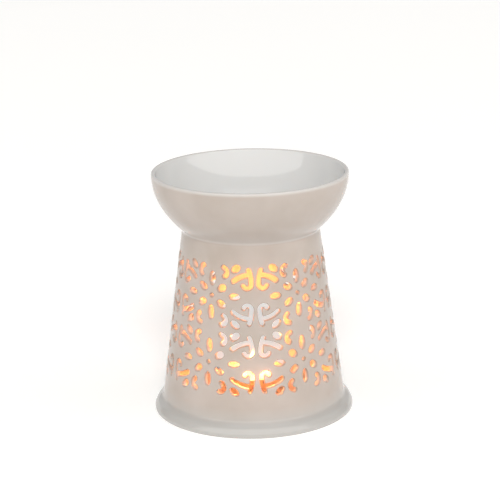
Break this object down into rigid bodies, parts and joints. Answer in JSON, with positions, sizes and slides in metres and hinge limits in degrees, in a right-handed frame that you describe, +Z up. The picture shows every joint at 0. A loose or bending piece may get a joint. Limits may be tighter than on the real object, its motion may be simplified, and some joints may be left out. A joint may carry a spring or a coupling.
{
  "type": "essential oil burner",
  "caption": "Ceramic oil burner: a shallow bowl on a tapered tower pierced with scrolls and petals, with a rear arched doorway for the tealight that slides in under the bowl.",
  "frame": {"origin": "centre of the foot, on the surface that the burner stands on", "axes": "+Z up through the tower and the bowl; +Y towards the doorway at the back, so the patterned front faces -Y; +X to the right seen from the front"},
  "size_m": [0.113, 0.113, 0.1375],
  "materials": {
    "glaze": "gloss",
    "foil": "satin",
    "tinplate": "satin",
    "wax": "satin",
    "wick": "matte"
  },
  "bodies": {
    "burner": {"tower": "glaze", "oil_dish": "glaze"},
    "tealight": {"tealight_cup": "foil", "wick_sustainer": "tinplate", "tealight_wax": "wax", "tealight_wick": "wick"}
  },
  "joints": [
    {"name": "tealight_slide", "type": "slide", "parent": "burner", "child": "tealight", "axis": [0, 1, 0], "range_m": [0, 0.12]}
  ]
}
